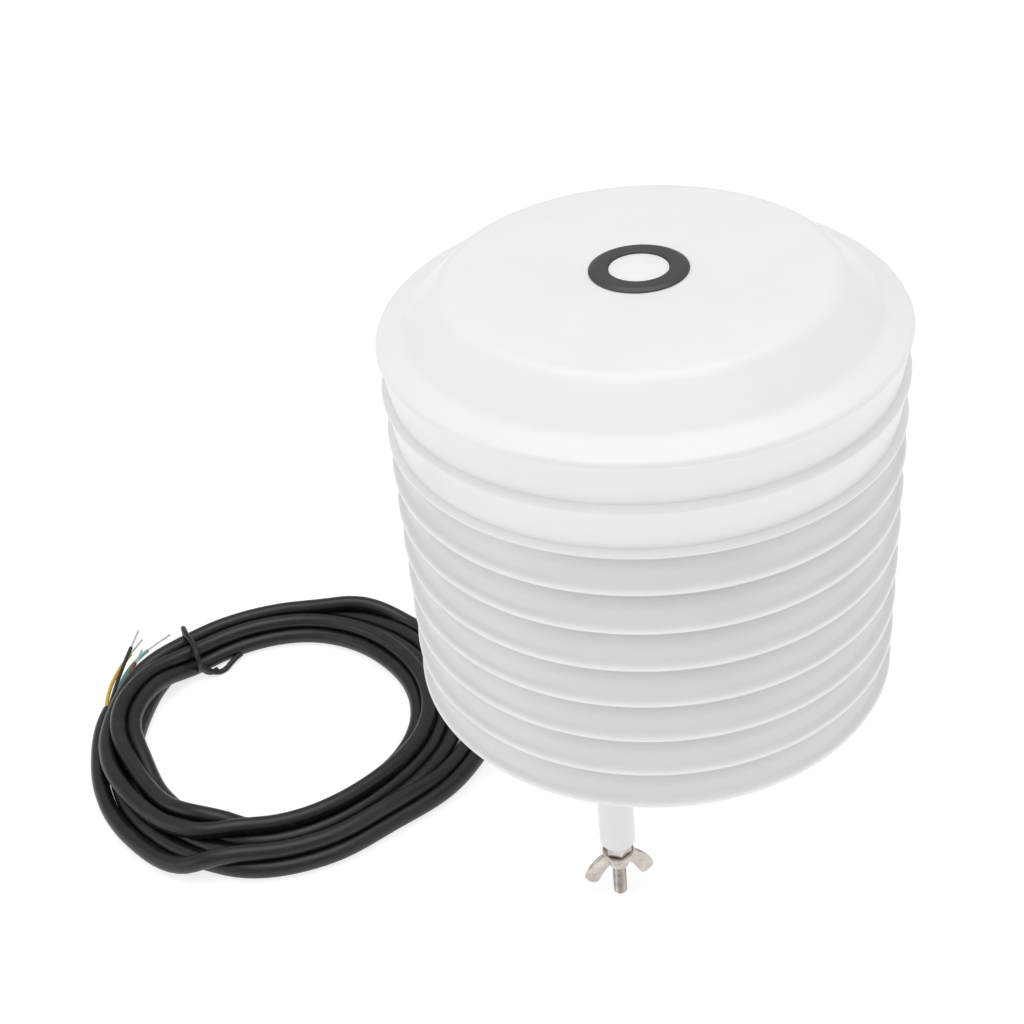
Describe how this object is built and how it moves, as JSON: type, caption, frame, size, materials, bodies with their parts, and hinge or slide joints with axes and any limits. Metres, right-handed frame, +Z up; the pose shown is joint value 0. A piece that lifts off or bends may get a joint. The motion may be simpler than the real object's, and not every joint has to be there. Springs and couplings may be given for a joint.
{
  "type": "louvred weather sensor",
  "caption": "Louvred air-temperature and light sensor: round white shield plates under a domed cap, on threaded rods with wing nuts, with a coiled cable.",
  "frame": {"origin": "on the shield's axis, level with the tips of the three rods it stands on", "axes": "+Z up along the axis of the plates; +X to the right and -Y towards the viewer when the coil of cable lies to the left"},
  "size_m": [0.2641, 0.1585, 0.1804],
  "materials": {
    "white_shell": "smooth moulded white, soft sheen",
    "white_sleeve": "plain white tube, satin",
    "black_plastic": "moulded, satin",
    "white_diffuser": "milky, slightly domed",
    "green_board": "solder-masked glass-fibre board",
    "black_rubber": "matt",
    "nickel_steel": "nickel-plated, warm tint",
    "sintered_metal": "fine-grained, matt",
    "black_cable": "smooth PVC jacket, soft highlights",
    "core_yellow": "thin insulation",
    "core_black": "thin insulation",
    "core_red": "thin insulation",
    "core_green": "thin insulation"
  },
  "bodies": {
    "sensor": {"bezel_ring_nut": "black_plastic", "bezel_seal": "black_rubber", "board_screw_1": "nickel_steel", "board_screw_2": "nickel_steel", "board_screw_3": "nickel_steel", "cable_coil": "black_cable", "cable_lead": "black_cable", "cable_tie": "black_cable", "cap_screw_1": "nickel_steel", "cap_screw_2": "nickel_steel", "cap_screw_3": "nickel_steel", "cap_seal": "black_rubber", "core_black": "core_black", "core_green": "core_green", "core_red": "core_red", "core_yellow": "core_yellow", "gland_body": "black_plastic", "gland_dome_nut": "black_plastic", "gland_lock_nut": "black_plastic", "hex_nut_1": "nickel_steel", "hex_nut_2": "nickel_steel", "hex_nut_3": "nickel_steel", "housing_base": "white_shell", "housing_ring": "white_shell", "leg_sleeve_1": "white_sleeve", "leg_sleeve_2": "white_sleeve", "leg_sleeve_3": "white_sleeve", "light_diffuser": "white_diffuser", "light_sensor_board": "green_board", "louvre_plate_1": "white_shell", "louvre_plate_2": "white_shell", "louvre_plate_3": "white_shell", "louvre_plate_4": "white_shell", "louvre_plate_5": "white_shell", "louvre_plate_6": "white_shell", "louvre_plate_7": "white_shell", "main_board": "green_board", "probe_body": "black_plastic", "probe_filter": "sintered_metal", "probe_nut": "black_plastic", "rod_top_nut_1": "nickel_steel", "rod_top_nut_2": "nickel_steel", "rod_top_nut_3": "nickel_steel", "sensor_bezel": "black_plastic", "threaded_rod_1": "nickel_steel", "threaded_rod_2": "nickel_steel", "threaded_rod_3": "nickel_steel", "top_cap": "white_shell"},
    "wing_nut_1": {"wing_nut_1": "nickel_steel"},
    "wing_nut_2": {"wing_nut_2": "nickel_steel"},
    "wing_nut_3": {"wing_nut_3": "nickel_steel"}
  },
  "joints": [
    {"name": "wing_nut_1_turn", "type": "hinge", "parent": "sensor", "child": "wing_nut_1", "pos_m": [-0.01248, -0.04842, 0.015], "axis": [0, 0, 1], "continuous": true},
    {"name": "wing_nut_2_turn", "type": "hinge", "parent": "sensor", "child": "wing_nut_2", "pos_m": [0.04817, 0.0134, 0.015], "axis": [0, 0, 1], "continuous": true},
    {"name": "wing_nut_3_turn", "type": "hinge", "parent": "sensor", "child": "wing_nut_3", "pos_m": [-0.03569, 0.03502, 0.015], "axis": [0, 0, 1], "continuous": true}
  ]
}
